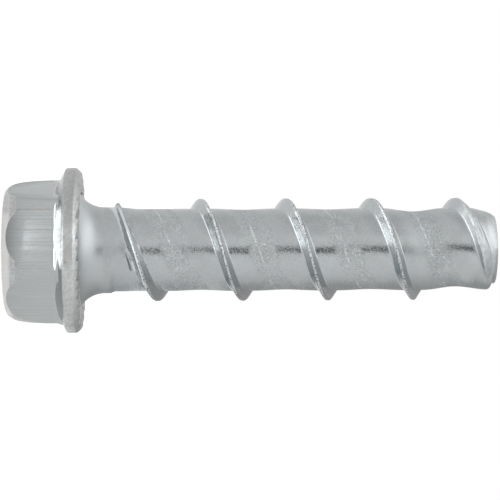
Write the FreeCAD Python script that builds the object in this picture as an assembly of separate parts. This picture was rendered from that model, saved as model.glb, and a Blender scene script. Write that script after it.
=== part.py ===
import FreeCAD, Part
import math
import os

# The screw stands on its head. The middle of the head's top face is the origin, and +Z runs along
# the shank to the tip. Lengths are in millimetres, and angles in degrees about +Z from +X.

# Head: a hexagon with a bevelled crown, on a round flange with a sloping upper side
hex_across_flats = 23.8
hex_turn = 257.0            # direction in which one flat faces
head_height = 14.1          # from the top face to the crests of the teeth
crown_face_margin = 0.9     # from the flats in to the edge of the top face
crown_bevel_width = 1.1     # of the steep bevel round the top face
crown_bevel_height = 0.95
crown_corner_cut = 0.65     # from the corners in to the shoulder of the second bevel
crown_height = 2.8          # from the top face to that shoulder
corner_ease_share = 0.56    # of the head's height, to where the corners are full
flange_overhang = 1.51      # of the flange beyond the hexagon's corners
flange_slope = 28.0         # of the flange's upper side from the level
rim_top_bevel = 0.4         # width of the bevel over the straight edge
rim_top_bevel_height = 0.35
rim_height = 1.65           # of the flange's straight edge
rim_round = 1.15            # from the straight edge to the teeth

# Locking teeth under the flange
tooth_count = 24
tooth_turn = 277.3          # direction of one tooth's steep side
tooth_depth = 0.54          # halfway out along the teeth
tooth_crest_width = 0.22
tooth_land_width = 0.2      # of the plain ring inside the teeth
tooth_land_share = 0.93     # of that ring's drop from the crests to the teeth's depth

# Shank
under_head_length = 76.2    # from the crests of the teeth to the end of the tip
core_diameter = 15.24       # of the rolled shank between the turns
blank_step = 0.33           # how far the blank shank under the head stands out over the core
blank_step_length = 0.35
blank_length = 1.2          # of the blank shank between the neck and the step
neck_radius = 5.3           # of the neck's hollow under the flange
neck_flare = 2.8            # how much further out than the blank shank the neck reaches

# Thread: one start, right-handed
thread_pitch = 15.74
thread_height = 1.855       # of the crest over the core
crest_width = 0.4
flank_angle = 31.0          # of each flank from the level
ridge_start_turn = 143.0    # direction in which the ridge begins
ridge_start_gap = 0.29      # from the neck to the middle of the ridge where it begins
run_in_turn = 172.0         # over which the ridge comes up to its full height
ridge_end_gap = 0.45        # from the ridge's end to the end of the tip
run_out_turn = 35.0         # over which the ridge sinks into the tip
run_out_length = 6.5        # of the cone that cuts the ridge down towards the tip
run_out_share = 0.48        # of the thread's height that is left halfway along that cone
run_out_end_depth = 0.1     # of the cone under the core's surface, at the corner of the tip
ridge_foot_depth = 0.5      # how far the ridge reaches under the core's surface
rail_step_turn = 15.0       # between the points that the helical edges pass through
piece_turn = 180.0          # of the lengths that the helical forms are made in

# Waist of the core between the last turns
waist_depth = 0.62
waist_turn = 480.0          # over which it follows the ridge
waist_ease_turn = 150.0     # over which it comes in, and fades out again
waist_margin = 0.5          # of plain core between the ridge's foot and the waist
waist_end_turn = 190.0      # from the waist's end to the ridge's end
waist_lid_rise = 0.15       # how far the cutters stand out over the core

# Tip
tip_length = 4.1            # of the tapering end
tip_mid_drop = 0.37         # fall of the radius halfway along the taper
tip_corner_drop = 1.22      # fall of the radius where the rounded corner begins
tip_corner_height = 0.38
tip_face_margin = 1.72       # from the core's surface in to the end face's edge

# Sizes that follow
flat_distance = hex_across_flats / 2
corner_radius = flat_distance / math.cos(math.radians(30))
corner_ease_z = head_height * corner_ease_share
flange_radius = corner_radius + flange_overhang
core_radius = core_diameter / 2
blank_radius = core_radius + blank_step
thread_radius = core_radius + thread_height
tooth_land_drop = tooth_depth * tooth_land_share
land_z = head_height - tooth_land_drop
rim_low_z = head_height - rim_round
rim_high_z = rim_low_z - rim_height
neck_foot_radius = blank_radius + neck_flare
neck_top_z = land_z + math.sqrt(neck_radius ** 2 - (neck_radius - neck_flare) ** 2)
teeth_inner_radius = neck_foot_radius + tooth_land_width
blank_end_z = neck_top_z + blank_length
tip_z = head_height + under_head_length
tip_start_z = tip_z - tip_length
tip_corner_z = tip_z - tip_corner_height
ridge_start_z = neck_top_z + ridge_start_gap
ridge_end_z = tip_z - ridge_end_gap
ridge_turn = 360 * (ridge_end_z - ridge_start_z) / thread_pitch
waist_last_turn = ridge_turn - waist_end_turn
waist_first_turn = waist_last_turn - waist_turn
ridge_height = thread_height + ridge_foot_depth
ridge_foot_half_width = crest_width / 2 + ridge_height * math.tan(math.radians(flank_angle))


def at(radius, z, turn=0.0):
    """A point at a radius and a height, in a direction."""
    angle = math.radians(turn)
    return FreeCAD.Vector(radius * math.cos(angle), radius * math.sin(angle), z)


def line(start, end):
    return Part.makeLine(start, end)


def arc(start, middle, end):
    return Part.Arc(start, middle, end).toShape()


def outline(points):
    """Straight edges through the points, in order."""
    return [line(start, end) for start, end in zip(points[:-1], points[1:])]


def turned(edges):
    """The solid swept by a closed outline in the XZ plane."""
    face = Part.Face(Part.Wire(edges))
    return face.revolve(FreeCAD.Vector(0, 0, 0), FreeCAD.Vector(0, 0, 1), 360)


def rounded_corner(centre, radius, start_angle, end_angle):
    """An arc in the XZ plane, with angles measured from +X towards +Z."""
    def spot(angle):
        turn = math.radians(angle)
        return centre + FreeCAD.Vector(radius * math.cos(turn), 0, radius * math.sin(turn))
    return arc(spot(start_angle), spot((start_angle + end_angle) / 2), spot(end_angle))


def head_hexagon():
    """The hexagon, with two round bevels under its top face."""
    corners = [at(corner_radius, 0, hex_turn + 30 + 60 * n) for n in range(7)]
    prism = Part.Face(Part.makePolygon(corners)).extrude(FreeCAD.Vector(0, 0, rim_low_z))
    face_edge = at(flat_distance - crown_face_margin, 0)
    crown = turned(outline([
        at(0, 0),
        face_edge,
        face_edge + FreeCAD.Vector(crown_bevel_width, 0, crown_bevel_height),
        at(corner_radius - crown_corner_cut, crown_height),
        at(corner_radius, corner_ease_z),
        at(corner_radius, rim_low_z),
        at(0, rim_low_z),
        at(0, 0),
    ]))
    return prism.common(crown)


def flange_and_shank():
    """The flange, the neck, the blank shank, the core and the tip in one outline."""
    bevel_start = at(flange_radius - rim_top_bevel, rim_high_z - rim_top_bevel_height)
    slope_length = bevel_start.x - flat_distance + crown_face_margin
    slope_start = bevel_start - at(slope_length, slope_length * math.tan(math.radians(flange_slope)))
    teeth_start = at(teeth_inner_radius + tooth_land_drop, head_height)
    neck_centre = at(blank_radius + neck_radius, neck_top_z)
    rim_corner = at(flange_radius - rim_round, rim_low_z)
    steps = [math.radians(turn) for turn in (0, 45, 90)]
    neck_foot_turn = 180 + math.degrees(math.asin((neck_top_z - land_z) / neck_radius))
    edges = outline([
        at(0, slope_start.z),
        slope_start,
        bevel_start,
        at(flange_radius, rim_high_z),
        at(flange_radius, rim_low_z),
    ])
    edges += outline([rim_corner + at(rim_round * math.cos(a), rim_round * math.sin(a)) for a in steps])
    edges += outline([
        at(flange_radius - rim_round, head_height),
        teeth_start,
        at(teeth_inner_radius, land_z),
        at(neck_foot_radius, land_z),
    ])
    edges.append(rounded_corner(neck_centre, neck_radius, neck_foot_turn, 180))
    edges += outline([
        at(blank_radius, neck_top_z),
        at(blank_radius, blank_end_z),
        at(core_radius, blank_end_z + blank_step_length),
        at(core_radius, tip_start_z),
        at(core_radius - tip_mid_drop, (tip_start_z + tip_corner_z) / 2),
        at(core_radius - tip_corner_drop, tip_corner_z),
        at(core_radius - tip_face_margin, tip_z),
        at(0, tip_z),
        at(0, slope_start.z),
    ])
    return turned(edges)


def tooth_gaps():
    """The wedges between the teeth. Each falls gently from one tooth's crest to the next steep side."""
    pitch = 360 / tooth_count
    outer = flange_radius + rim_round
    middle = (teeth_inner_radius + flange_radius) / 2
    crest = FreeCAD.Vector(math.cos(math.radians(pitch)), -math.sin(math.radians(pitch)), 0)
    across = FreeCAD.Vector(-crest.y, crest.x, 0)
    crest_line = across * tooth_crest_width + FreeCAD.Vector(0, 0, head_height)
    rise = tooth_depth / (at(middle, 0) - across * tooth_crest_width).dot(across)

    def floor_under(point):
        fall = rise * (point - crest_line).dot(across)
        return FreeCAD.Vector(point.x, point.y, head_height - fall)

    base = [
        floor_under(at(teeth_inner_radius, 0)),
        floor_under(at(outer, 0)),
        crest_line + crest * outer,
        crest_line + crest * teeth_inner_radius,
    ]
    lid = [FreeCAD.Vector(p.x, p.y, head_height + tooth_depth) for p in base]
    sides = [Part.Face(Part.makePolygon(base + base[:1])), Part.Face(Part.makePolygon(lid + lid[:1]))]
    for n in range(len(base)):
        m = (n + 1) % len(base)
        sides.append(Part.Face(Part.makePolygon([base[n], base[m], lid[m], lid[n], base[n]])))
    wedge = Part.makeSolid(Part.makeShell(sides))
    gaps = []
    for n in range(tooth_count):
        gap = wedge.copy()
        gap.rotate(FreeCAD.Vector(0, 0, 0), FreeCAD.Vector(0, 0, 1), tooth_turn + n * pitch)
        gaps.append(gap)
    return gaps


def crest_radius_at(turn):
    """The crest comes up out of the blank shank, stays level, and sinks into the tip."""
    if turn < run_in_turn:
        left = 1 - turn / run_in_turn
        return thread_radius - (thread_radius - blank_radius) * left ** 2
    sink = max(0.0, (turn - ridge_turn + run_out_turn) / run_out_turn)
    return thread_radius - (thread_height + tip_corner_drop) * sink ** 2


def closed_solid(faces):
    """One solid from faces that meet edge to edge."""
    shell = Part.makeShell(faces)
    shell.sewShape()
    solid = Part.makeSolid(Part.Shell(shell.Faces))
    if solid.Volume < 0:
        solid.reverse()
    return solid


def piece_ends(first, last, turn):
    """A stretch shared out in equal pieces, each of about half a turn, as pairs of ends."""
    count = math.ceil(turn / piece_turn)
    ends = [first + (last - first) * n / count for n in range(count + 1)]
    return list(zip(ends[:-1], ends[1:]))


def ridge_pieces():
    """The thread ridge, between four rails that wind up the shank."""
    count = math.ceil(ridge_turn / rail_step_turn)
    turns = [ridge_turn * n / count for n in range(count + 1)]
    offsets = [
        (0.0, -crest_width / 2),
        (0.0, crest_width / 2),
        (-ridge_height, ridge_foot_half_width),
        (-ridge_height, -ridge_foot_half_width),
    ]
    rails = []
    for inward, along in offsets:
        points = []
        for turn in turns:
            z = ridge_start_z + thread_pitch * turn / 360 + along
            points.append(at(crest_radius_at(turn) + inward, z, ridge_start_turn + turn))
        curve = Part.BSplineCurve()
        curve.interpolate(Points=points, Parameters=turns)
        rails.append(curve)
    pieces = []
    for start, end in piece_ends(0, ridge_turn, ridge_turn):
        edges = [curve.toShape(start, end) for curve in rails]
        faces = [Part.makeRuledSurface(edges[n], edges[(n + 1) % 4], 1) for n in range(4)]
        for turn in (start, end):
            corners = [curve.value(turn) for curve in rails]
            faces.append(Part.Face(Part.makePolygon(corners + corners[:1])))
        pieces.append(closed_solid(faces))
    return pieces


def waist_depth_at(turn):
    """The waist comes in gently, stays deep, and fades out before the tip."""
    def eased(share):
        share = min(1.0, max(0.0, share))
        return share * share * (3 - 2 * share)
    coming_in = eased((turn - waist_first_turn) / waist_ease_turn)
    fading_out = eased((waist_last_turn - turn) / waist_ease_turn)
    return waist_depth * coming_in * fading_out


def waist_pieces():
    """Lens-shaped cutters that wind round the core halfway between the turns of the ridge."""
    half_width = (thread_pitch - crest_width) / 2
    half_width -= thread_height * math.tan(math.radians(flank_angle)) + waist_margin
    count = math.ceil(waist_turn / rail_step_turn)
    grid = []
    for n in range(count + 1):
        turn = waist_first_turn + (waist_last_turn - waist_first_turn) * n / count
        middle_z = ridge_start_z + thread_pitch * (turn / 360 + 0.5)
        edge_radius = core_radius + waist_lid_rise
        floor_radius = core_radius - waist_depth_at(turn)
        row = [
            at(edge_radius, middle_z - half_width, ridge_start_turn + turn),
            at(floor_radius, middle_z, ridge_start_turn + turn),
            at(edge_radius, middle_z + half_width, ridge_start_turn + turn),
        ]
        grid.append(row)
    surface = Part.BSplineSurface()
    surface.interpolate(grid)
    first, last, low, high = surface.bounds()
    pieces = []
    for start, end in piece_ends(first, last, waist_turn):
        floor = surface.copy()
        floor.segment(start, end, low, high)
        rims = [floor.vIso(low).toShape(), floor.vIso(high).toShape()]
        faces = [floor.toShape(), Part.makeRuledSurface(rims[0], rims[1], 1)]
        for place in (start, end):
            section = floor.uIso(place)
            closing = line(section.value(section.FirstParameter), section.value(section.LastParameter))
            faces.append(Part.Face(Part.Wire([section.toShape(), closing])))
        pieces.append(closed_solid(faces))
    return pieces


def run_out_envelope():
    """All that the ridge may fill. Near the tip a cone cuts it down."""
    cone_start_z = tip_z - run_out_length
    cone_middle_z = (cone_start_z + tip_corner_z) / 2
    outer = thread_radius + crest_width
    return turned(outline([
        at(0, land_z),
        at(outer, land_z),
        at(outer, cone_start_z - crest_width),
        at(thread_radius, cone_start_z),
        at(core_radius + thread_height * run_out_share, cone_middle_z),
        at(core_radius - run_out_end_depth, tip_corner_z),
        at(core_radius - tip_face_margin, tip_z),
        at(0, tip_z),
        at(0, land_z),
    ]))


def screw():
    body = flange_and_shank().fuse(head_hexagon())
    body = body.cut(tooth_gaps()).removeSplitter()
    body = body.cut(waist_pieces())
    envelope = run_out_envelope()
    return body.fuse([piece.common(envelope) for piece in ridge_pieces()])


os.makedirs("parts", exist_ok=True)
concrete_screw = screw()
if len(concrete_screw.Solids) != 1:
    raise SystemExit("the screw is not one solid")
concrete_screw = concrete_screw.Solids[0]
if not concrete_screw.isValid():
    raise SystemExit("the screw's solid is not valid")
concrete_screw.exportStep("parts/concrete_screw.step")
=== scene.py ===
import bpy
import bmesh
import math
import random
from mathutils import Matrix, Vector, noise


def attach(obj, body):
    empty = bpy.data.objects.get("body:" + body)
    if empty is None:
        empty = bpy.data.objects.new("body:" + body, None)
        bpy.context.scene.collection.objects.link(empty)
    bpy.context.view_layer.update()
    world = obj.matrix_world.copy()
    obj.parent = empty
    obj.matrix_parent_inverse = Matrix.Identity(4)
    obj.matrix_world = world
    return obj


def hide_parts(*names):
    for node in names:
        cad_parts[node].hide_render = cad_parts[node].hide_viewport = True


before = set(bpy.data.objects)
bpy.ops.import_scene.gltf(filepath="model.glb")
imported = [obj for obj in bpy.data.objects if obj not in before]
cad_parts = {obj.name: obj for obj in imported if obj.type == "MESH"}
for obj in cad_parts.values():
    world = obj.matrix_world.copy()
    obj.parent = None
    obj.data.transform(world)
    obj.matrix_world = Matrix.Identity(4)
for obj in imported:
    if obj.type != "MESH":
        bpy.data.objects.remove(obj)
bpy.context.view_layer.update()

# Camera. The screw stands on its head, so the camera lies on its side to see the shank level, with
# the head at the left. It is far off and has a long lens, as in product photographs.
MM = 0.001
CAMERA_DISTANCE = 403.5 * MM
CAMERA_HEIGHT = 35.2 * MM
CAMERA_AIM = Vector((0.065 * MM, 0, 45.08 * MM))
CAMERA_ROLL = math.radians(-0.24)
CAMERA_LENS = 157.0
CAMERA_SENSOR = 36

camera_data = bpy.data.cameras.new("camera")
camera = bpy.data.objects.new("camera", camera_data)
bpy.context.collection.objects.link(camera)
bpy.context.scene.camera = camera
camera_data.sensor_width = CAMERA_SENSOR
camera_data.lens = CAMERA_LENS
camera_data.clip_start = 10 * MM
camera.location = (CAMERA_AIM.x, -CAMERA_DISTANCE, CAMERA_HEIGHT)
backward = (camera.location - CAMERA_AIM).normalized()
rightward = Vector((-1, 0, 0)).cross(backward).normalized()
upward = backward.cross(rightward)
turned = Matrix((rightward, upward, backward)).transposed() @ Matrix.Rotation(CAMERA_ROLL, 3, "Z")
camera.rotation_euler = turned.to_euler()
bpy.context.scene.view_settings.view_transform = "Standard"

# White floor. A sheet of white paper that the head stands on. It shows white to the camera and in
# the metal, and takes a soft shadow.
FLOOR_SIZE = 6.0
FLOOR_COLOUR = (0.85, 0.85, 0.85, 1)
FLOOR_GLOW = 0.62
FLOOR_GLOW_IN_METAL = 0.42


def add_math(tree, operation, *values):
    """A math node between sockets or numbers."""
    step = tree.nodes.new("ShaderNodeMath")
    step.operation = operation
    for socket, value in zip(step.inputs, values):
        if isinstance(value, (int, float)):
            socket.default_value = value
        else:
            tree.links.new(value, socket)
    return step.outputs[0]


bpy.ops.object.select_all(action="DESELECT")
bpy.ops.mesh.primitive_plane_add(size=FLOOR_SIZE, location=(0, 0, 0))
floor = bpy.context.active_object
floor.name = "floor"
paper = bpy.data.materials.new("white_paper")
paper.use_nodes = True
nodes, links = paper.node_tree.nodes, paper.node_tree.links
nodes.clear()
surface = nodes.new("ShaderNodeOutputMaterial")
diffuse = nodes.new("ShaderNodeBsdfDiffuse")
diffuse.inputs["Color"].default_value = FLOOR_COLOUR
glow = nodes.new("ShaderNodeEmission")
path = nodes.new("ShaderNodeLightPath")
to_camera = add_math(paper.node_tree, "MULTIPLY", path.outputs["Is Camera Ray"], FLOOR_GLOW)
in_metal = add_math(paper.node_tree, "MULTIPLY", path.outputs["Is Glossy Ray"], FLOOR_GLOW_IN_METAL)
links.new(add_math(paper.node_tree, "ADD", to_camera, in_metal), glow.inputs["Strength"])
both = nodes.new("ShaderNodeAddShader")
links.new(diffuse.outputs[0], both.inputs[0])
links.new(glow.outputs[0], both.inputs[1])
links.new(both.outputs[0], surface.inputs["Surface"])
floor.data.materials.append(paper)

# Studio air. It lights the screw and the floor evenly from all sides, and is white to the camera.
# The metal shows the dome in its place.
WORLD_LIGHT = 0.6

world = bpy.data.worlds.new("studio")
bpy.context.scene.world = world
world.use_nodes = True
world.cycles_visibility.glossy = False
nodes, links = world.node_tree.nodes, world.node_tree.links
background = nodes["Background"]
background.inputs["Color"].default_value = (1, 1, 1, 1)
path = nodes.new("ShaderNodeLightPath")
more = add_math(world.node_tree, "MULTIPLY", path.outputs["Is Camera Ray"], 1 - WORLD_LIGHT)
links.new(add_math(world.node_tree, "ADD", more, WORLD_LIGHT), background.inputs["Strength"])

# Studio dome. What the metal shows of the room: white paper walls all round that are a little darker
# to the sides, with a dark slit that the camera looks through, and soft lamps high at the upper side.
DOME_RADIUS = 2.6
WALL_SHADES = ((-180, 0.85), (-140, 0.83), (-131, 0.87), (-109, 0.76), (-91, 0.70), (-76, 0.76), (-63, 0.77),
               (-45, 0.79), (-38, 0.95), (-27, 1.02), (-10, 1.04), (-6, 0.17), (8.5, 0.17), (12, 1.05),
               (16, 1.07), (30, 1.06), (53, 0.99), (66, 0.95), (80, 0.88), (95, 0.76), (113, 0.56),
               (130, 0.48), (150, 0.42), (168, 0.42), (180, 0.80))
LAMP_SHADES = ((-180, 1.0), (-140, 1.05), (-120, 1.18), (-100, 1.36), (-78, 1.75), (-52, 1.85), (-24, 1.75),
               (-8, 1.50), (6, 1.30), (30, 1.05), (54, 0.98), (80, 0.90), (113, 0.72), (135, 0.60),
               (147, 0.42), (168, 0.42), (180, 0.95))
LAMPS_FROM, LAMPS_TO = math.sin(math.radians(20)), math.sin(math.radians(44))


def shades_round(tree, shades):
    """Greys round the screw, from degrees and brightnesses. They are halved, as a ramp ends at one."""
    place = tree.nodes.new("ShaderNodeTexCoord")
    turn = tree.nodes.new("ShaderNodeMapping")
    turn.inputs["Rotation"].default_value = (0, 0, math.radians(90))
    round_about = tree.nodes.new("ShaderNodeTexGradient")
    round_about.gradient_type = "RADIAL"
    ramp = tree.nodes.new("ShaderNodeValToRGB")
    elements = ramp.color_ramp.elements
    elements.remove(elements[0])
    for n, (degrees, bright) in enumerate(shades):
        stop = elements[0] if n == 0 else elements.new((degrees + 180) / 360)
        stop.position = (degrees + 180) / 360
        stop.color = (bright / 2, bright / 2, bright / 2, 1)
    tree.links.new(place.outputs["Object"], turn.inputs["Vector"])
    tree.links.new(turn.outputs[0], round_about.inputs["Vector"])
    tree.links.new(round_about.outputs["Fac"], ramp.inputs["Fac"])
    return ramp.outputs["Color"]


bpy.ops.object.select_all(action="DESELECT")
bpy.ops.mesh.primitive_uv_sphere_add(segments=64, ring_count=32, radius=DOME_RADIUS, location=(0, 0, 0))
dome = bpy.context.active_object
dome.name = "dome"
dome.visible_camera = False
dome.visible_diffuse = False
dome.visible_shadow = False
dome.visible_transmission = False
walls = bpy.data.materials.new("dome_walls")
walls.use_nodes = True
nodes, links = walls.node_tree.nodes, walls.node_tree.links
nodes.clear()
surface = nodes.new("ShaderNodeOutputMaterial")
glow = nodes.new("ShaderNodeEmission")
glow.inputs["Strength"].default_value = 2
place = nodes.new("ShaderNodeTexCoord")
split = nodes.new("ShaderNodeSeparateXYZ")
height = nodes.new("ShaderNodeMapRange")
height.interpolation_type = "SMOOTHSTEP"
height.inputs["From Min"].default_value = LAMPS_FROM * DOME_RADIUS
height.inputs["From Max"].default_value = LAMPS_TO * DOME_RADIUS
blend = nodes.new("ShaderNodeMix")
blend.data_type = "RGBA"
links.new(place.outputs["Object"], split.inputs[0])
links.new(split.outputs["Z"], height.inputs["Value"])
links.new(height.outputs[0], blend.inputs["Factor"])
links.new(shades_round(walls.node_tree, WALL_SHADES), blend.inputs["A"])
links.new(shades_round(walls.node_tree, LAMP_SHADES), blend.inputs["B"])
links.new(blend.outputs["Result"], glow.inputs["Color"])
links.new(glow.outputs[0], surface.inputs["Surface"])
dome.data.materials.append(walls)

# Strip lamps. Two narrow lamps lie along the front face of the hexagon and look up at the flange, which
# makes the white band at the foot of that face. They have grids, so that little falls elsewhere. Each
# has a width, a height, a brightness and a spread.
FACE_WAY = (0.974, -0.225, 0)
BAND_STRIP_PLACE = Vector((-2.9, -16.3, 3.6)) * MM
BAND_STRIP_AIM = Vector((0.2, -11.2, 11.6)) * MM
ROOT_STRIP_PLACE = Vector((-2.94, -12.9, 0.4)) * MM
ROOT_STRIP_AIM = Vector((-2.94, -12.9, 9)) * MM
BAND_STRIP = (34 * MM, 5 * MM, 0.46, 52)
ROOT_STRIP = (14 * MM, 2.2 * MM, 0.4, 50)


def light_panel(name, centre, aim, long_way, width, height, brightness, spread):
    """A soft flat lamp with a grid, long one way, which shows in the metal and not to the camera."""
    data = bpy.data.lights.new(name, "AREA")
    data.shape = "RECTANGLE"
    data.size = width
    data.size_y = height
    data.spread = math.radians(spread)
    data.energy = brightness * width * height * math.pi
    panel = bpy.data.objects.new(name, data)
    bpy.context.collection.objects.link(panel)
    panel.location = centre
    facing = (Vector(aim) - Vector(centre)).normalized()
    side = (Vector(long_way) - facing * facing.dot(Vector(long_way))).normalized()
    panel.rotation_euler = Matrix((side, side.cross(facing), -facing)).transposed().to_euler()
    panel.visible_camera = False


light_panel("band_strip", BAND_STRIP_PLACE, BAND_STRIP_AIM, FACE_WAY, *BAND_STRIP)
light_panel("root_strip", ROOT_STRIP_PLACE, ROOT_STRIP_AIM, FACE_WAY, *ROOT_STRIP)

# Flank lamps. Flat lamps tiled round the front and the upper side of the flange, level with its top,
# which light the ridge from below. Each is two corners in millimetres and a brightness, and the last
# one, at the lower side, is weak.
FLANK_Z = 15 * MM
FLANK_SPREAD = 110
FLANK_TILES = ((-46, -46, -15.8, -8, 1.55), (-46, -8, -15.8, 8, 0.9), (-15.8, -46, -8, -12.5, 1.55),
               (-8, -46, 11, -15.8, 1.55), (13, -34, 39, -10, 0.3))

for x0, y0, x1, y1, bright in FLANK_TILES:
    middle = Vector(((x0 + x1) / 2 * MM, (y0 + y1) / 2 * MM, FLANK_Z))
    light_panel("flank_lamp", middle, middle + Vector((0, 0, 1)), (1, 0, 0), (x1 - x0) * MM,
                (y1 - y0) * MM, bright, FLANK_SPREAD)

# Dark cards. One lies level with the flange, behind the lower side, and darkens the ridge there. One
# lies on the floor behind the camera, as a dark gap in the studio that widens away from the screw.
# They show only in the metal.
SIDE_CARD = (Vector((14, 10, 14.6)) * MM, Vector((80, 90, 14.6)) * MM, (0.36, 0.42, 0.46, 1))
GAP_CARD = (Vector((-31, -2500, 0.3)) * MM, Vector((45, -300, 0.3)) * MM, (0.18, 0.18, 0.18, 1))
GAP_FAN = 8.3

for low, high, shade in (SIDE_CARD, GAP_CARD):
    bpy.ops.object.select_all(action="DESELECT")
    bpy.ops.mesh.primitive_plane_add(size=1, location=(low + high) / 2)
    card = bpy.context.active_object
    card.name = "card"
    card.scale = (high.x - low.x, high.y - low.y, 1)
    bpy.ops.object.transform_apply(location=True, scale=True)
    card.visible_camera = False
    card.visible_diffuse = False
    card.visible_shadow = False
    card.visible_transmission = False
    dark = bpy.data.materials.new("dark_card")
    dark.use_nodes = True
    nodes, links = dark.node_tree.nodes, dark.node_tree.links
    nodes.clear()
    surface = nodes.new("ShaderNodeOutputMaterial")
    glow = nodes.new("ShaderNodeEmission")
    glow.inputs["Color"].default_value = shade
    side = nodes.new("ShaderNodeNewGeometry")
    clear = nodes.new("ShaderNodeBsdfTransparent")
    both = nodes.new("ShaderNodeMixShader")
    links.new(side.outputs["Backfacing"], both.inputs[0])
    links.new(glow.outputs[0], both.inputs[1])
    links.new(clear.outputs[0], both.inputs[2])
    links.new(both.outputs[0], surface.inputs["Surface"])
    card.data.materials.append(dark)

# the far end of the gap card, which is made last
bpy.ops.object.mode_set(mode="EDIT")
bpy.ops.mesh.select_mode(type="VERT")
bpy.ops.mesh.select_all(action="DESELECT")
for corner in bmesh.from_edit_mesh(card.data).verts:
    corner.select_set(corner.co.y < (GAP_CARD[0].y + GAP_CARD[1].y) / 2)
bpy.ops.transform.resize(value=(GAP_FAN, 1, 1), center_override=(0, 0, 0))
bpy.ops.object.mode_set(mode="OBJECT")

# Rolled shank. Steel wire of 15.24 mm, squeezed between rolling dies that raise one ridge from it
# and leave the core slightly waisted between the turns. It is drawn as one pitch of its section,
# which is wound up the shank.
CORE_RADIUS = 7.62 * MM
BLANK_RADIUS = 7.95 * MM
BLANK_END_Z = 19.48 * MM
PITCH = 15.74 * MM
RIDGE_HEIGHT = 1.855 * MM
RIDGE_START_Z = 18.56 * MM
RIDGE_START_TURN = 143.0
SHANK_LOW_Z = 18.27 * MM
TIP_Z = 90.3 * MM
TURNS = 7
STEPS_PER_TURN = 192
GROOVE_STEPS = 14
FOOT_STEPS = 12
FOOT_STEP = 0.18 * MM
SNAP = 0.001 * MM
WELD = 0.005 * MM
AT_EDGE = 0.01 * MM
SECTION = ((0, 1.80), (0.10, 1.84), (0.18, 1.855), (0.25, 1.78), (0.40, 1.53), (0.55, 1.28), (0.70, 1.03),
           (0.85, 0.775), (1.00, 0.52), (1.163, 0.25), (1.25, 0.12), (1.36, 0.03), (1.50, 0))


def only(piece):
    """Make one piece the only one selected, and the active one."""
    bpy.ops.object.select_all(action="DESELECT")
    piece.select_set(True)
    bpy.context.view_layer.objects.active = piece


def drawn_line(name, points):
    """A line of edges, drawn from its first point on by extruding each point to the next."""
    bpy.ops.object.select_all(action="DESELECT")
    bpy.ops.mesh.primitive_plane_add(size=MM, location=points[0])
    piece = bpy.context.active_object
    piece.name = name
    bpy.ops.object.transform_apply(location=True)
    bpy.ops.object.mode_set(mode="EDIT")
    bpy.ops.mesh.select_mode(type="VERT")
    bpy.ops.mesh.merge(type="CENTER")
    for start, end in zip(points, points[1:]):
        bpy.ops.mesh.extrude_vertices_move(TRANSFORM_OT_translate={"value": end - start})
    bpy.ops.object.mode_set(mode="OBJECT")
    return piece


def apply(piece, name, kind, **settings):
    """Add a modifier to a piece, with its settings, and apply it."""
    only(piece)
    modifier = piece.modifiers.new(name, kind)
    for key, value in settings.items():
        setattr(modifier, key, value)
    bpy.ops.object.modifier_apply(modifier=modifier.name)


def cut_off(piece, z, upper):
    """Cut away what lies over a height, or under it, and leave the cut open."""
    only(piece)
    bpy.ops.object.mode_set(mode="EDIT")
    bpy.ops.mesh.select_all(action="SELECT")
    bpy.ops.mesh.bisect(plane_co=(0, 0, z), plane_no=(0, 0, 1), clear_outer=upper,
                        clear_inner=not upper, threshold=SNAP)
    bpy.ops.object.mode_set(mode="OBJECT")


right = [Vector((u * MM, 0, h * MM)) for u, h in SECTION]
left = [Vector((-p.x, 0, p.z)) for p in right[1:]]
left += [Vector((-right[-1].x - FOOT_STEP * (n + 1), 0, 0)) for n in range(FOOT_STEPS)]
for side in (right, left):
    last, end = side[-1].x, math.copysign(PITCH / 2, side[-1].x)
    side += [Vector((last + (end - last) * (n + 1) / GROOVE_STEPS, 0, 0)) for n in range(GROOVE_STEPS)]
section = left[::-1] + right
low_mid_z = RIDGE_START_Z - PITCH * (RIDGE_START_TURN / 360 + 1)
screw = drawn_line("screw", [Vector((CORE_RADIUS + p.z, 0, low_mid_z + p.x)) for p in section])
apply(screw, "winding", "SCREW", angle=math.radians(360 * TURNS), screw_offset=PITCH * TURNS,
      steps=STEPS_PER_TURN * TURNS, render_steps=STEPS_PER_TURN * TURNS, axis="Z")
only(screw)
bpy.ops.object.mode_set(mode="EDIT")
bpy.ops.mesh.select_all(action="SELECT")
bpy.ops.mesh.remove_doubles(threshold=WELD)
bpy.ops.object.mode_set(mode="OBJECT")
cut_off(screw, SHANK_LOW_Z, False)
cut_off(screw, TIP_Z, True)

# Run-in, waist and run-out. The ridge comes up out of the thicker blank shank, and sinks into the
# tip. The core is waisted between the turns, most of all between the last ones, and its end tapers.
# The tables go by degrees of turn from the start of the ridge, or by height in millimetres.
RUN_IN = ((0, 1.5), (28, 1.00), (37, 0.68), (47, 0.92), (62, 1.08), (76, 1.04), (92, 0.88), (109, 0.62),
          (127, 0.36), (150, 0.12), (172, 0))
RUN_OUT = ((83.8, 1.855), (86.9, 0.89), (89.6, -1.2))
FOLD_TURNS = (124, 157)
FOLD_HEIGHT = 0.55 * MM
FOLD_PLACE = -1.64 * MM
FOLD_WIDTHS = (0.08, 0.62)
FOLD_RISE = 1.6
FOOT_GROOVE_TURNS = (135, 150, 176, 196)
FOOT_GROOVE_DEPTH = 0.10 * MM
FOOT_GROOVE_PLACE = -1.62 * MM
FOOT_GROOVE_WIDTH = 0.14 * MM
ON_RIDGE = 0.001
BURR = 0.07 * MM
BURR_SIZE = 0.7 * MM
BURR_SHARE = 0.94
BURR_TURN = 20
BLANK_STEP_BELOW = 0.22 * MM
BLANK_STEP_ABOVE = 5.72 * MM
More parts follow.
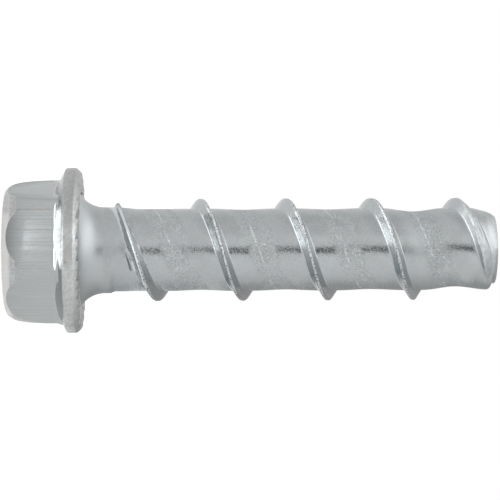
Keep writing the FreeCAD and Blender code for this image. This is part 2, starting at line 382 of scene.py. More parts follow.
DRIFT = ((0, 0.60), (28, 0.62), (36, 0.58), (48, 0.25), (60, -0.10), (73, -0.36), (90, -0.44), (109, -0.42),
         (125, -0.33), (140, -0.24), (180, -0.08), (220, 0), (1120, 0), (1160, 0.20), (1220, 0.20), (1240, 0),
         (1500, 0), (1520, 0.30), (1545, 0.43), (1640, 0.40))
DRIFT_WIDTH = 5.0 * MM
DRIFT_START_EASE = 1.0 * MM
DRIFT_END_EASE = 1.5 * MM
FAR_FLANK = 1.3 * MM
FAR_FLANK_STEEPER = 0.35 * MM
WHOLE_TURNS = (300, 1500)
WHOLE_TURNS_EASE = 60
FRONT_WAY = 285
FRONT_FROM = -0.2
FRONT_EASE = 0.6
WAIST_HALF_WIDTH = 6.3 * MM
WAIST_DEPTH = 0.22 * MM
LAST_WAIST_DEPTH = 0.42 * MM
LAST_WAIST_TURNS = (960, 1440)
LAST_WAIST_EASE = 150
TIP_TAPER = ((86.0, 0), (87.08, 0.18), (87.6, 0.32), (88.4, 0.46), (89.0, 0.66), (89.57, 0.86), (89.92, 1.06),
             (90.3, 1.36))
TIP_TAPER_BELOW = ((88.5, 0), (88.9, 0.15), (89.25, 0.70), (89.57, 1.05), (89.92, 1.25), (90.3, 1.45))
TIP_RINGS = (89.57, 89.25, 89.92, 88.9, 88.5)
BELOW_FROM = 0.80
BELOW_EASE = 0.17


def eased(share):
    """From zero to one, with a gentle start and end."""
    share = min(1.0, max(0.0, share))
    return share * share * (3 - 2 * share)


def along(table, place):
    """A value between the points of a short list of places and values."""
    if place <= table[0][0]:
        return table[0][1]
    for (a, low), (b, high) in zip(table, table[1:]):
        if place <= b:
            return low + (high - low) * (place - a) / (b - a)
    return table[-1][1]


def thread_place(point):
    """How far round the ridge a point is, in degrees, and how far along from the ridge's middle."""
    direction = math.degrees(math.atan2(point.y, point.x)) % 360
    turn = direction - RIDGE_START_TURN
    mid_z = RIDGE_START_Z + PITCH * turn / 360
    count = round((point.z - mid_z) / PITCH)
    return turn + 360 * count, point.z - mid_z - PITCH * count


def ridge_radius(turn, z, share, core):
    """The ridge comes up through the blank shank, and a cone cuts it down towards the tip."""
    sunk = along(RUN_IN, turn) * MM
    left_by_cone = along(RUN_OUT, z / MM) * MM
    if left_by_cone < RIDGE_HEIGHT:
        return min(core + (CORE_RADIUS + RIDGE_HEIGHT - core) * share, CORE_RADIUS + left_by_cone)
    return CORE_RADIUS + RIDGE_HEIGHT * share - sunk


def fold(turn, along_pitch):
    """A lip that the dies folded over beside the start of the ridge. It grows, and ends in a step."""
    first, last = FOLD_TURNS
    grown = (turn - first) / (last - first)
    if not 0 < grown <= 1:
        return 0.0
    width = (FOLD_WIDTHS[0] + (FOLD_WIDTHS[1] - FOLD_WIDTHS[0]) * grown) * MM
    across_lip = min(1.0, max(0.0, (along_pitch - FOLD_PLACE) / width + 1))
    return FOLD_HEIGHT * min(1, grown * FOLD_RISE) * across_lip


def foot_groove(turn, along_pitch):
    """A thin groove beside the foot of the ridge, which goes on where the lip ends."""
    first, full, fading, last = FOOT_GROOVE_TURNS
    share = eased((turn - first) / (full - first)) * eased((last - turn) / (last - fading))
    off = (along_pitch - FOOT_GROOVE_PLACE) / FOOT_GROOVE_WIDTH
    return share * FOOT_GROOVE_DEPTH * math.exp(-off ** 2)


def waist(turn, along_pitch):
    """How deep the core is waisted at a place between two turns."""
    from_middle = PITCH / 2 - abs(along_pitch)
    if along_pitch < 0:
        turn -= 360
    if from_middle > WAIST_HALF_WIDTH or turn < 0:
        return 0.0
    first, last = LAST_WAIST_TURNS
    extra = eased((turn - first) / LAST_WAIST_EASE) * eased((last - turn) / LAST_WAIST_EASE)
    depth = WAIST_DEPTH * eased(turn / LAST_WAIST_EASE) + LAST_WAIST_DEPTH * extra
    return depth * math.cos(math.pi / 2 * from_middle / WAIST_HALF_WIDTH) ** 2


def core_radius(point, turn, along_pitch):
    """The radius that the shank would have with no ridge."""
    below = (1 + point.x / point.xy.length) / 2
    z = point.z / MM
    taper, taper_below = along(TIP_TAPER, z), along(TIP_TAPER_BELOW, z)
    taper += (taper_below - taper) * eased((below - BELOW_FROM) / BELOW_EASE)
    return CORE_RADIUS - taper * MM - waist(turn, along_pitch)


def blank_share(point):
    """One on the blank shank under the head, and zero beyond the step down to the rolled core."""
    below = eased((point.x / point.xy.length + 1) / 2)
    step = BLANK_STEP_BELOW + (BLANK_STEP_ABOVE - BLANK_STEP_BELOW) * (1 - below)
    return 1 - eased((point.z - BLANK_END_Z) / step)


for z in TIP_RINGS:
    only(screw)
    bpy.ops.object.mode_set(mode="EDIT")
    bpy.ops.mesh.select_all(action="SELECT")
    bpy.ops.mesh.bisect(plane_co=(0, 0, z * MM), plane_no=(0, 0, 1), threshold=SNAP)
    bpy.ops.object.mode_set(mode="OBJECT")
for vertex in screw.data.vertices:
    point = vertex.co
    share = (point.xy.length - CORE_RADIUS) / RIDGE_HEIGHT
    turn, along_pitch = thread_place(point)
    radius = core_radius(point, turn, along_pitch)
    if along_pitch < 0:
        radius += fold(turn, along_pitch) - foot_groove(turn, along_pitch)
    if share > ON_RIDGE:
        radius = max(radius, ridge_radius(turn, point.z, share, radius))
        if share > BURR_SHARE and turn > BURR_TURN:
            radius += BURR * noise.noise(point / BURR_SIZE) - BURR / 2
    blank = blank_share(point)
    if blank > 0:
        radius = max(radius, CORE_RADIUS + (BLANK_RADIUS - CORE_RADIUS) * blank)
    if point.z < SHANK_LOW_Z + AT_EDGE:
        radius = BLANK_RADIUS
    near = eased(1 - abs(along_pitch) / DRIFT_WIDTH) * eased((point.z - SHANK_LOW_Z) / DRIFT_START_EASE)
    near *= eased((TIP_Z - point.z) / DRIFT_END_EASE)
    vertex.co.xy = point.xy.normalized() * radius
    vertex.co.z += along(DRIFT, turn) * MM * near if turn > 0 else 0
    first, last = WHOLE_TURNS
    whole = eased((turn - first) / WHOLE_TURNS_EASE) * eased((last - turn) / WHOLE_TURNS_EASE)
    facing = math.cos(math.radians(turn + RIDGE_START_TURN - FRONT_WAY))
    in_front = eased((facing - FRONT_FROM) / FRONT_EASE)
    on_flank = eased(1 - abs(along_pitch - FAR_FLANK) / FAR_FLANK)
    vertex.co.z -= FAR_FLANK_STEEPER * whole * in_front * on_flank

# Tip. The end of the shank is sheared off square when the wire is cut to length. Its face is plain,
# and closes the shank with one flat face.


def pick(piece, kind, test):
    """In edit mode, select the vertices, edges or faces of a piece that pass a test, and no others."""
    bpy.ops.mesh.select_mode(type=kind)
    bpy.ops.mesh.select_all(action="DESELECT")
    shape = bmesh.from_edit_mesh(piece.data)
    parts = {"VERT": shape.verts, "EDGE": shape.edges, "FACE": shape.faces}[kind]
    for part in parts:
        if test(part):
            part.select_set(True)
    shape.select_flush_mode()
    bmesh.update_edit_mesh(piece.data)


only(screw)
bpy.ops.object.mode_set(mode="EDIT")
pick(screw, "EDGE", lambda edge: edge.is_boundary and edge.verts[0].co.z > TIP_Z - AT_EDGE)
bpy.ops.mesh.fill()
bpy.ops.object.mode_set(mode="OBJECT")

# Neck and flange. Under the head the shank opens in a hollow neck into a round flange, which is
# forged with the head. The neck's edge is extruded outwards, and round the rim to the upper side.
NECK_RADIUS = 5.3 * MM
NECK_STEPS = 12
LAND_Z = 13.6 * MM
HEAD_HEIGHT = 14.1 * MM
FLANGE = ((10.95, 13.6), (11.45, 14.1), (12.4, 14.1), (13.3, 14.1), (14.1, 14.1), (14.28, 14.07),
          (14.42, 13.98), (14.85, 13.56), (15.14, 13.24), (15.22, 13.05), (15.25, 12.8), (15.25, 12.1),
          (15.25, 11.7), (15.2, 11.45), (15.1, 11.27), (14.9, 11.12), (14.35, 10.86), (13.6, 10.46),
          (12.9, 10.09), (12.2, 9.72), (11.4, 9.3), (10.6, 8.9))

neck = []
for n in range(1, NECK_STEPS + 1):
    swing = math.asin((SHANK_LOW_Z - LAND_Z) / NECK_RADIUS) * n / NECK_STEPS
    neck.append((BLANK_RADIUS + NECK_RADIUS * (1 - math.cos(swing)),
                 SHANK_LOW_Z - NECK_RADIUS * math.sin(swing)))
only(screw)
bpy.ops.object.mode_set(mode="EDIT")
pick(screw, "EDGE", lambda edge: edge.is_boundary and edge.verts[0].co.z < SHANK_LOW_Z + AT_EDGE)
last_radius, last_z = BLANK_RADIUS, SHANK_LOW_Z
for radius, z in neck + [(r * MM, z * MM) for r, z in FLANGE]:
    bpy.ops.mesh.extrude_region_move(TRANSFORM_OT_translate={"value": (0, 0, z - last_z)})
    grow = radius / last_radius
    bpy.ops.transform.resize(value=(grow, grow, 1), center_override=(0, 0, 0))
    last_radius, last_z = radius, z
bpy.ops.mesh.fill()
bpy.ops.mesh.select_all(action="SELECT")
bpy.ops.mesh.normals_make_consistent(inside=False)
bpy.ops.object.mode_set(mode="OBJECT")

# Locking teeth. 24 ratchet teeth are forged under the flange, and bite when the screw is turned
# back. One wedge between two teeth is shaped and copied round, and all are cut out together.
TOOTH_COUNT = 24
TOOTH_TURN = 277.3
TOOTH_DEPTH = 0.54 * MM
TOOTH_CREST = 0.22 * MM
TOOTH_STRAY = 0.4
TOOTH_SHALLOWER = 0.25
TOOTH_SEED = 24
TEETH_INNER = 10.95 * MM
TEETH_OUTER = 16.4 * MM

tooth_pitch = math.radians(360 / TOOTH_COUNT)
crest_way = Vector((math.cos(tooth_pitch), -math.sin(tooth_pitch), 0))
across = Vector((-crest_way.y, crest_way.x, 0))
crest_line = across * TOOTH_CREST + Vector((0, 0, HEAD_HEIGHT))
middle = Vector(((TEETH_INNER + TEETH_OUTER) / 2, 0, 0))
fall = TOOTH_DEPTH / (middle - across * TOOTH_CREST).dot(across)
drops = []
for reach in (TEETH_INNER, TEETH_OUTER):
    drops.append(fall * (Vector((reach, 0, 0)) - across * TOOTH_CREST).dot(across))
wedge = drawn_line("wedge", [Vector((TEETH_INNER, 0, HEAD_HEIGHT - drops[0])),
                             Vector((TEETH_OUTER, 0, HEAD_HEIGHT - drops[1])),
                             crest_line + crest_way * TEETH_OUTER, crest_line + crest_way * TEETH_INNER])
only(wedge)
bpy.ops.object.mode_set(mode="EDIT")
bpy.ops.mesh.select_all(action="SELECT")
bpy.ops.mesh.edge_face_add()
bpy.ops.mesh.extrude_region_move(TRANSFORM_OT_translate={"value": (0, 0, 2 * TOOTH_DEPTH)})
bpy.ops.transform.resize(value=(1, 1, 0), center_override=(0, 0, HEAD_HEIGHT + TOOTH_DEPTH))
bpy.ops.mesh.select_all(action="SELECT")
bpy.ops.mesh.normals_make_consistent(inside=False)
bpy.ops.object.mode_set(mode="OBJECT")
chance = random.Random(TOOTH_SEED)
wedges = []
for n in range(TOOTH_COUNT):
    copied = wedge.copy()
    copied.data = wedge.data.copy()
    bpy.context.collection.objects.link(copied)
    turn = TOOTH_TURN + chance.uniform(-TOOTH_STRAY, TOOTH_STRAY)
    copied.rotation_euler.z = math.radians(turn) + tooth_pitch * n
    copied.location.z = chance.uniform(0, TOOTH_DEPTH * TOOTH_SHALLOWER)
    wedges.append(copied)
bpy.data.objects.remove(wedge)
bpy.ops.object.select_all(action="DESELECT")
for copied in wedges:
    copied.select_set(True)
bpy.context.view_layer.objects.active = wedges[0]
bpy.ops.object.transform_apply(location=True, rotation=True)
bpy.ops.object.join()
apply(screw, "teeth", "BOOLEAN", operation="DIFFERENCE", solver="EXACT", object=wedges[0])
bpy.data.objects.remove(wedges[0])

# Head. A hexagon forged in one with the flange, with a rounded crown that the die leaves rough. It
# is cut into many strips first, so that its foot can flare out smoothly into the flange.
HEX_TURN = 257.0
HEX_FLAT = 11.8 * MM
HEX_OFF = Vector((0.17 * MM, 0, 0))
HEX_ROOT_Z = 11.2 * MM
HEX_EDGE_ROUND = 0.25 * MM
HEX_ROOT = ((9.4, 0), (9.54, 0.02), (9.67, 0.06), (9.78, 0.13), (9.88, 0.22), (9.98, 0.34), (10.08, 0.49),
            (10.3, 0.9), (10.7, 1.62), (11.1, 2.34), (11.2, 2.52))
HEX_ROOT_REACH = 15.05 * MM
HEX_ROOT_REACH_FROM = 10 * MM
HEX_ROOT_SHARE = ((17, 1), (47, 0.3), (77, 1), (107, 0.3), (137, 1), (167, 0.25), (197, 1), (226, 0.45),
                  (233, 1), (281, 1), (288, 0.45), (317, 1.1), (347, 0.3), (377, 1))
HEX_CUTS = 24
CROWN_SIDES = 192
CROWN = ((9.9, 0), (10.6, 0.03), (11.0, 0.08), (11.35, 0.2), (11.6, 0.34), (11.85, 0.55), (12.16, 1.0),
         (12.45, 1.5), (12.68, 2.05), (12.87, 2.65), (13.05, 3.4), (13.25, 4.6), (13.42, 6.3), (13.55, 8.2),
         (13.85, 11.3))
CROWN_OFF = Vector((0.25, 0.3, 0)) * MM

bpy.ops.object.select_all(action="DESELECT")
bpy.ops.mesh.primitive_cylinder_add(vertices=6, radius=HEX_FLAT / math.cos(math.pi / 6), depth=HEX_ROOT_Z,
                                    location=HEX_OFF + Vector((0, 0, HEX_ROOT_Z / 2)))
hexagon = bpy.context.active_object
hexagon.name = "hexagon"
corner = math.degrees(math.atan2(hexagon.data.vertices[0].co.y, hexagon.data.vertices[0].co.x))
hexagon.rotation_euler.z = math.radians(HEX_TURN + 30 - corner)
bpy.ops.object.transform_apply(location=True, rotation=True)
bpy.ops.object.mode_set(mode="EDIT")
pick(hexagon, "EDGE", lambda edge: abs((edge.verts[0].co - edge.verts[1].co).z) > MM)
bpy.ops.mesh.bevel(offset=HEX_EDGE_ROUND, segments=4)
cuts = [((0, 0, z * MM), (0, 0, 1)) for z, grow in HEX_ROOT]
for n in range(HEX_CUTS):
    swing = math.radians(HEX_TURN + 180 * n / HEX_CUTS)
    cuts.append((HEX_OFF, (-math.sin(swing), math.cos(swing), 0)))
for spot, way in cuts:
    bpy.ops.mesh.select_all(action="SELECT")
    bpy.ops.mesh.bisect(plane_co=spot, plane_no=way, threshold=SNAP)
bpy.ops.object.mode_set(mode="OBJECT")
first_way = HEX_ROOT_SHARE[0][0]
for vertex in hexagon.data.vertices:
    off = vertex.co - HEX_OFF
    direction = (math.degrees(math.atan2(off.y, off.x)) - first_way) % 360 + first_way
    grow = along(HEX_ROOT, off.z / MM) * along(HEX_ROOT_SHARE, direction) * MM
    vertex.co.xy += off.xy.normalized() * grow
    if off.z > HEX_ROOT_REACH_FROM:
        vertex.co.xy *= min(1, HEX_ROOT_REACH / vertex.co.xy.length)

first_radius = CROWN[0][0]
bpy.ops.object.select_all(action="DESELECT")
bpy.ops.mesh.primitive_circle_add(vertices=CROWN_SIDES, radius=first_radius * MM, location=(0, 0, 0))
crown = bpy.context.active_object
crown.name = "crown"
bpy.ops.object.mode_set(mode="EDIT")
bpy.ops.mesh.select_all(action="SELECT")
for (r0, z0), (r1, z1) in zip(CROWN, CROWN[1:]):
    bpy.ops.mesh.extrude_region_move(TRANSFORM_OT_translate={"value": (0, 0, (z1 - z0) * MM)})
    bpy.ops.transform.resize(value=(r1 / r0, r1 / r0, 1), center_override=(0, 0, 0))
bpy.ops.mesh.fill()
pick(crown, "EDGE", lambda edge: edge.is_boundary)
bpy.ops.mesh.fill()
bpy.ops.mesh.select_all(action="SELECT")
bpy.ops.mesh.normals_make_consistent(inside=False)
bpy.ops.transform.translate(value=CROWN_OFF)
bpy.ops.object.mode_set(mode="OBJECT")
apply(hexagon, "crown", "BOOLEAN", operation="INTERSECT", solver="EXACT", object=crown)
bpy.data.objects.remove(crown)
apply(screw, "head", "BOOLEAN", operation="UNION", solver="EXACT", object=hexagon)
bpy.data.objects.remove(hexagon)

# Zinc plate. One bright plate over four skins of steel: rolled on the shank, drawn on the hexagon,
# forged on the crown and the rim, and smooth on the neck. The plate shows the skin beneath it.
ZINC = (0.455, 0.478, 0.487)
WARM_ZINC = (0.47, 0.465, 0.45)
RUST = (0.20, 0.165, 0.14)
screw.data.materials.clear()


def zinc_plate(name):
    """A metal material, and its tree, shader, object coordinates and split coordinates."""
    material = bpy.data.materials.new(name)
    material.use_nodes = True
    tree = material.node_tree
    shader = tree.nodes["Principled BSDF"]
    shader.inputs["Metallic"].default_value = 1
    place = tree.nodes.new("ShaderNodeTexCoord").outputs["Object"]
    split = tree.nodes.new("ShaderNodeSeparateXYZ")
    tree.links.new(place, split.inputs[0])
    screw.data.materials.append(material)
    return tree, shader, place, split.outputs


def grain(tree, place, size, detail=2.0, rough=0.5, stretch=None):
    """Noise with grains of a size in millimetres, perhaps stretched along the screw."""
    if stretch:
        scaled = tree.nodes.new("ShaderNodeMapping")
        scaled.inputs["Scale"].default_value = (1, 1, 1 / stretch)
        tree.links.new(place, scaled.inputs["Vector"])
        place = scaled.outputs[0]
    texture = tree.nodes.new("ShaderNodeTexNoise")
    texture.inputs["Scale"].default_value = 1 / (size * MM)
    texture.inputs["Detail"].default_value = detail
    texture.inputs["Roughness"].default_value = rough
    tree.links.new(place, texture.inputs["Vector"])
    return texture.outputs[0]


def fade(tree, value, low, high, start=0.0, end=1.0):
    """A value that goes smoothly from a start to an end, while another goes from low to high."""
    step = tree.nodes.new("ShaderNodeMapRange")
    step.interpolation_type = "SMOOTHSTEP"
    tree.links.new(value, step.inputs["Value"])
    for name, number in zip(("From Min", "From Max", "To Min", "To Max"), (low, high, start, end)):
        step.inputs[name].default_value = number
    return step.outputs[0]


def tinted(tree, share, first, second):
    """A colour between two, which are colours or sockets."""
    mix = tree.nodes.new("ShaderNodeMix")
    mix.data_type = "RGBA"
    tree.links.new(share, mix.inputs["Factor"])
    for socket, colour in ((mix.inputs["A"], first), (mix.inputs["B"], second)):
        if isinstance(colour, tuple):
            socket.default_value = (*colour, 1)
        else:
            tree.links.new(colour, socket)
    return mix.outputs["Result"]


def relief(tree, shader, heights):
    """Bumps laid over each other, each a height socket and its depth in millimetres."""
    normal = None
    for height, depth in heights:
        bump = tree.nodes.new("ShaderNodeBump")
        bump.inputs["Distance"].default_value = depth * MM
        tree.links.new(height, bump.inputs["Height"])
        if normal:
            tree.links.new(normal, bump.inputs["Normal"])
        normal = bump.outputs[0]
    tree.links.new(normal, shader.inputs["Normal"])


def shades_of(colour, amount):
    """The same colour, darker or lighter."""
    return tuple(channel * amount for channel in colour)


# Rolled skin of the shank. The dies leave it bright, and dull and pitted in patches midway between
# the turns, where a long scratch follows the ridge. The crest is worn, with specks of rust. Bright
# specks in the dull patches are painted glints, and the lower flank of the first turn is painted
# lighter, as painted light.
# Places between the turns are shares of the pitch, counted from the middle of the ridge upwards.
ROLLED_FROM = (19 * MM, 23 * MM)
MATTE_FROM, MATTE_TO = (0.24, 0.36), (0.58, 0.67)
LEAST_MATTE = 0.45
SCRATCH_PLACE = 0.45
SCRATCH_SWAY = 0.06
TIP_RIDGE = (83.5 * MM, 87 * MM)
SPECKS_FADE = (80 * MM, 84 * MM)
LIT_FIRST_FLANK = (0.89, 0.93)
LIT_FIRST_FLANK_END = (26 * MM, 30 * MM)
BLANK_DULL_END = (20.5 * MM, 24.5 * MM)
LAST_FLANK = (0.08, 0.11)
LAST_FLANK_FROM = (81 * MM, 84 * MM)
DULL_FROM, DULL_TO = (72 * MM, 73.5 * MM), (79 * MM, 81.5 * MM)
SMOOTH_FLANK = (0.08, 0.12)

tree, shader, place, xyz = zinc_plate("rolled_zinc")
height = xyz["Z"]
turned_by = tree.nodes.new("ShaderNodeTexGradient")
turned_by.gradient_type = "RADIAL"
tree.links.new(place, turned_by.inputs["Vector"])
phase = add_math(tree, "SUBTRACT", add_math(tree, "DIVIDE", height, PITCH), turned_by.outputs["Fac"])
phase = add_math(tree, "ADD", phase, 0.5 + RIDGE_START_TURN / 360 - RIDGE_START_Z / PITCH + 8)
phase = add_math(tree, "FRACT", phase)
from_ridge = add_math(tree, "PINGPONG", phase, 0.5)
flat = tree.nodes.new("ShaderNodeVectorMath")
flat.operation = "MULTIPLY"
flat.inputs[1].default_value = (1, 1, 0)
tree.links.new(place, flat.inputs[0])
across_axis = tree.nodes.new("ShaderNodeVectorMath")
across_axis.operation = "LENGTH"
tree.links.new(flat.outputs[0], across_axis.inputs[0])
radius = across_axis.outputs["Value"]

rolled = fade(tree, height, *ROLLED_FROM)
patches = add_math(tree, "MAXIMUM", fade(tree, grain(tree, place, 3.2), 0.36, 0.54), LEAST_MATTE)
matte = add_math(tree, "MULTIPLY", fade(tree, phase, *MATTE_FROM), fade(tree, phase, *MATTE_TO, 1, 0))
matte = add_math(tree, "MULTIPLY", add_math(tree, "MULTIPLY", matte, rolled), patches)
off_crest = add_math(tree, "SUBTRACT", from_ridge, fade(tree, height, *TIP_RIDGE, 0.014, 0.020))
flank_radius = fade(tree, height, *TIP_RIDGE, CORE_RADIUS + 1.1 * MM, CORE_RADIUS + 0.45 * MM)
over_flank = add_math(tree, "SUBTRACT", radius, flank_radius)
crest = add_math(tree, "MULTIPLY", fade(tree, off_crest, -0.004, 0.004, 1, 0),
                 fade(tree, over_flank, -0.2 * MM, 0.2 * MM))
specks = fade(tree, grain(tree, place, 0.28, 3), 0.52, 0.62)
specks = add_math(tree, "MULTIPLY", specks, fade(tree, height, *SPECKS_FADE, 1, 0.35))
cloud = fade(tree, grain(tree, place, 2.2, 4, 0.6), 0.25, 0.75)
sway = add_math(tree, "MULTIPLY", grain(tree, place, 2.5), SCRATCH_SWAY)
off_scratch = add_math(tree, "SUBTRACT", add_math(tree, "ADD", phase, sway), SCRATCH_PLACE)
scratch = fade(tree, add_math(tree, "ABSOLUTE", off_scratch), 0.002, 0.016, 1, 0)
scratch = add_math(tree, "MULTIPLY", scratch, fade(tree, grain(tree, place, 5.0), 0.46, 0.56))
scratch = add_math(tree, "MULTIPLY", scratch, fade(tree, grain(tree, place, 0.3, 3), 0.42, 0.54))
scratch = add_math(tree, "MULTIPLY", scratch, rolled)
pits = fade(tree, grain(tree, place, 0.22, 3, 0.6), 0.50, 0.62, 0, 0.8)
pits = add_math(tree, "MULTIPLY", pits, fade(tree, matte, 0, 1, 0.25, 1))
# painted glints: bright specks in the dull patches
painted_glints = add_math(tree, "MULTIPLY", matte, fade(tree, grain(tree, place, 0.24, 3, 0.6), 0.57, 0.66))
# painted light: the lower flank of the first turn, which faces the flange, is made lighter
painted_first_flank_light = add_math(tree, "MULTIPLY", fade(tree, phase, *LIT_FIRST_FLANK),
                       fade(tree, height, *LIT_FIRST_FLANK_END, 1, 0))

body = tinted(tree, cloud, shades_of(ZINC, 0.955), shades_of(ZINC, 1.04))
body = tinted(tree, pits, body, shades_of(ZINC, 0.62))
body = tinted(tree, scratch, body, shades_of(ZINC, 1.45))
body = tinted(tree, painted_glints, body, shades_of(ZINC, 1.5))
body = tinted(tree, painted_first_flank_light, body, shades_of(ZINC, 1.5))
worn = tinted(tree, specks, shades_of(ZINC, 1.24), RUST)
tree.links.new(tinted(tree, crest, body, worn), shader.inputs["Base Color"])

shine = add_math(tree, "ADD", fade(tree, cloud, 0, 1, 0.15, 0.20), add_math(tree, "MULTIPLY", matte, 0.24))
shine = add_math(tree, "ADD", shine, add_math(tree, "MULTIPLY", crest, 0.25))
shine = add_math(tree, "ADD", shine, fade(tree, height, *BLANK_DULL_END, 0.26, 0))
last_flank = add_math(tree, "MULTIPLY", fade(tree, from_ridge, *LAST_FLANK, 0.16, 0),
                      fade(tree, height, *LAST_FLANK_FROM))
shine = add_math(tree, "ADD", shine, last_flank)
dull_end = add_math(tree, "MULTIPLY", fade(tree, height, *DULL_FROM, 0, 0.2),
                    fade(tree, height, *DULL_TO, 1, 0))
shine = add_math(tree, "ADD", shine, dull_end)
tree.links.new(shine, shader.inputs["Roughness"])
rough_fine = add_math(tree, "MULTIPLY", grain(tree, place, 0.30, 2), fade(tree, matte, 0, 1, 0.7, 3.6))
rough_fine = add_math(tree, "MULTIPLY", rough_fine, fade(tree, from_ridge, *SMOOTH_FLANK, 0.3, 1))
relief(tree, shader, ((rough_fine, 0.026), (grain(tree, place, 1.6), 0.02), (scratch, 0.03), (specks, 0.01)))

# Drawn skin of the hexagon. The punch drags fine straight lines along its sides. The front face has a
# few darker ones, and painted shade darkens it towards its outer edge; the upper face is painted
# greyer, as painted shade.
DRAW_LINES = ((-9.2, 0.35), (-7.4, 0.5), (-3.75, 0.4), (-5.8, 0.15), (-1.6, 0.2), (1.2, 0.15))
UPPER_TURN = HEX_TURN - 60
FACE_SKIN = (0.5 * MM, 0.25 * MM)
EDGE_SHADE_FADE = (0.6 * MM, 4.3 * MM)
HEX_ROOT_FROM = (8.9 * MM, 9.5 * MM)


def on_face(tree, place, turn):
    """A share that is one on the face of the hexagon that looks a way, given in degrees."""
    out = tree.nodes.new("ShaderNodeVectorMath")
    out.operation = "DOT_PRODUCT"
    out.inputs[1].default_value = (math.cos(math.radians(turn)), math.sin(math.radians(turn)), 0)
    tree.links.new(place, out.inputs[0])
    return fade(tree, out.outputs["Value"], HEX_FLAT - FACE_SKIN[0], HEX_FLAT - FACE_SKIN[1])


tree, shader, place, xyz = zinc_plate("drawn_zinc")
lines = grain(tree, place, 0.26, 3, 0.6, 80)
broad = grain(tree, place, 1.6, 3, 0.6, 8)
upper, front = on_face(tree, place, UPPER_TURN), on_face(tree, place, HEX_TURN)
patchy = fade(tree, grain(tree, place, 1.1), 0.38, 0.60, 0.15, 1)
body = tinted(tree, fade(tree, lines, 0.3, 0.7), shades_of(ZINC, 0.94), shades_of(ZINC, 1.06))
body = tinted(tree, fade(tree, broad, 0.35, 0.75, 0, 0.5), body, shades_of(WARM_ZINC, 0.98))
for spot, depth in DRAW_LINES:
    off = add_math(tree, "ABSOLUTE", add_math(tree, "SUBTRACT", xyz["X"], spot * MM))
    mark = add_math(tree, "MULTIPLY", fade(tree, off, 0.02 * MM, 0.11 * MM, depth, 0), front)
    mark = add_math(tree, "MULTIPLY", mark, patchy)
    body = tinted(tree, mark, body, shades_of(RUST, 1.1))
# painted shade: the front face darkens towards its outer edge
edge = add_math(tree, "MULTIPLY", front, fade(tree, xyz["Z"], *EDGE_SHADE_FADE, 0.85, 0))
body = tinted(tree, edge, body, shades_of(ZINC, 0.55))
# painted shade: the upper face is made greyer
body = tinted(tree, add_math(tree, "MULTIPLY", upper, 0.6), body, shades_of(ZINC, 0.79))
tree.links.new(body, shader.inputs["Base Color"])
shine = fade(tree, lines, 0.2, 0.8, 0.22, 0.32)
root = fade(tree, xyz["Z"], *HEX_ROOT_FROM)
shine = add_math(tree, "MULTIPLY", shine, fade(tree, root, 0, 1, 1, 0.55))
tree.links.new(shine, shader.inputs["Roughness"])
relief(tree, shader, ((lines, 0.015), (grain(tree, place, 0.4), 0.006)))

# Forged skin of the crown and the rim. Scale from the forge leaves it rough, pale and stained. Painted
# shade makes the upper side of the rim greyer, and painted light makes the end of the crown lighter.
STAIN = (0.33, 0.325, 0.31)
RIM_PAINTED_SHADE = (0.385, 0.39, 0.385)
CROWN_PAINTED_LIGHT = (0.80, 0.785, 0.77)
RIM_SHADE_SIDE = (-6 * MM, -3 * MM)
RIM_SHADE_FROM = (8 * MM, 10 * MM)
CROWN_LIGHT_END = (1.2 * MM, 1.9 * MM)
CROWN_LIGHT_SIDE = (-7.5 * MM, -6 * MM)

tree, shader, place, xyz = zinc_plate("forged_zinc")
scale = fade(tree, grain(tree, place, 0.6, 5, 0.65), 0.35, 0.65)
stain = fade(tree, grain(tree, place, 1.3, 5, 0.72), 0.53, 0.68, 0, 0.7)
# painted shade: the upper side of the rim is made greyer
painted_rim_shade = add_math(tree, "MULTIPLY", fade(tree, xyz["X"], *RIM_SHADE_SIDE, 1, 0), fade(tree, xyz["Z"], *RIM_SHADE_FROM))
painted_rim_shade = add_math(tree, "MULTIPLY", painted_rim_shade, fade(tree, scale, 0, 1, 0.9, 0.6))
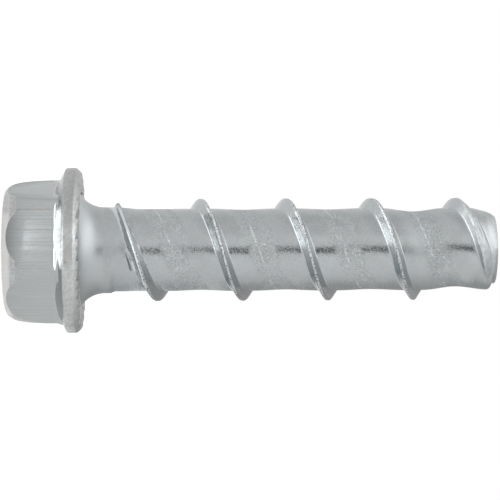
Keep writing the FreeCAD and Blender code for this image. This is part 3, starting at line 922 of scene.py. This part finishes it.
# painted light: the crown is made lighter near its end, most on its lower side
painted_crown_light = add_math(tree, "MULTIPLY", fade(tree, xyz["Z"], *CROWN_LIGHT_END, 0.8, 0),
                fade(tree, xyz["X"], *CROWN_LIGHT_SIDE, 0.45, 1))
body = tinted(tree, scale, shades_of(WARM_ZINC, 1.03), shades_of(ZINC, 1.22))
body = tinted(tree, stain, body, STAIN)
body = tinted(tree, painted_rim_shade, body, RIM_PAINTED_SHADE)
tree.links.new(tinted(tree, painted_crown_light, body, CROWN_PAINTED_LIGHT), shader.inputs["Base Color"])
tree.links.new(fade(tree, scale, 0, 1, 0.44, 0.32), shader.inputs["Roughness"])
relief(tree, shader, ((grain(tree, place, 0.4, 3, 0.6), 0.05), (grain(tree, place, 1.8), 0.07)))

# Smooth skin of the neck. The rolling dies don't reach it, so it stays plain and a little dull, with
# faint clouds.
tree, shader, place, xyz = zinc_plate("smooth_zinc")
cloud = fade(tree, grain(tree, place, 2.5, 4, 0.6), 0.25, 0.75)
tree.links.new(tinted(tree, cloud, shades_of(ZINC, 0.96), shades_of(ZINC, 1.03)), shader.inputs["Base Color"])
tree.links.new(fade(tree, cloud, 0, 1, 0.34, 0.42), shader.inputs["Roughness"])
relief(tree, shader, ((grain(tree, place, 0.32, 2), 0.006), (grain(tree, place, 1.5), 0.012)))

# Skins laid on the faces. Each face of the screw takes the skin of the place where it lies. The whole
# is shaded smooth but for its sharp edges, and takes the place of the CAD's plain screw.
ROLLED, DRAWN, FORGED, SMOOTH = range(4)
NECK_LOW_Z = 13.65 * MM
NECK_REACH = 11.2 * MM
RIM_LOW_Z = 11.1 * MM
CROWN_HIGH_Z = 3 * MM
CROWN_SLOPE = -0.25
SHARP = math.radians(35)

for face in screw.data.polygons:
    centre, across = face.center, face.center.xy.length
    if centre.z > SHANK_LOW_Z:
        face.material_index = ROLLED
    elif centre.z > NECK_LOW_Z and across < NECK_REACH:
        face.material_index = SMOOTH
    elif centre.z > RIM_LOW_Z or face.normal.z < CROWN_SLOPE and centre.z < CROWN_HIGH_Z:
        face.material_index = FORGED
    else:
        face.material_index = DRAWN
only(screw)
bpy.ops.object.shade_smooth_by_angle(angle=SHARP)
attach(screw, "root")
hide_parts("concrete_screw")
